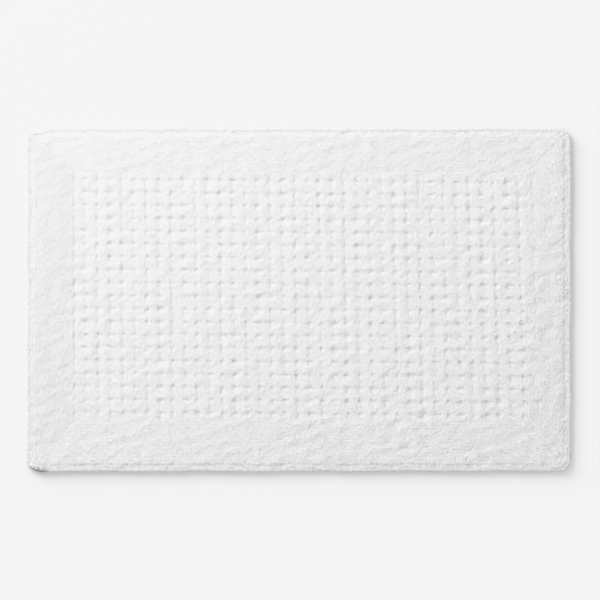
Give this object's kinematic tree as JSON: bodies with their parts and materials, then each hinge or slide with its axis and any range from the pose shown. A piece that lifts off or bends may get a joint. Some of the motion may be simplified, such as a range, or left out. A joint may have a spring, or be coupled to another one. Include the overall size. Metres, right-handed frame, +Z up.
{
  "type": "bath mat",
  "caption": "Rectangular tufted cotton bath mat: dimpled pile field in a plain pile border, woven base cloth, non-slip back coat, turned and sewn hems.",
  "frame": {"origin": "middle of the underside, on the floor", "axes": "+X along the long side, +Y across the mat to the back, +Z up, out of the pile"},
  "size_m": [0.81, 0.51, 0.014],
  "materials": {
    "pile": "matt cut cotton pile",
    "base_cloth": "plain-weave cotton",
    "back_coat": "matt latex coat",
    "thread": "spun sewing thread",
    "label": "blank satin ribbon"
  },
  "bodies": {
    "root": {"back_coat": "back_coat", "base_cloth": "base_cloth", "hem_front": "base_cloth", "hem_right": "base_cloth", "hem_back": "base_cloth", "hem_left": "base_cloth", "pile_field": "pile", "pile_border_front": "pile", "pile_border_right": "pile", "pile_border_back": "pile", "pile_border_left": "pile", "edge_roll_front": "pile", "edge_roll_right": "pile", "edge_roll_back": "pile", "edge_roll_left": "pile", "needle_thread": "thread", "bobbin_thread": "thread", "label_tack": "thread", "care_label": "label"}
  },
  "joints": []
}
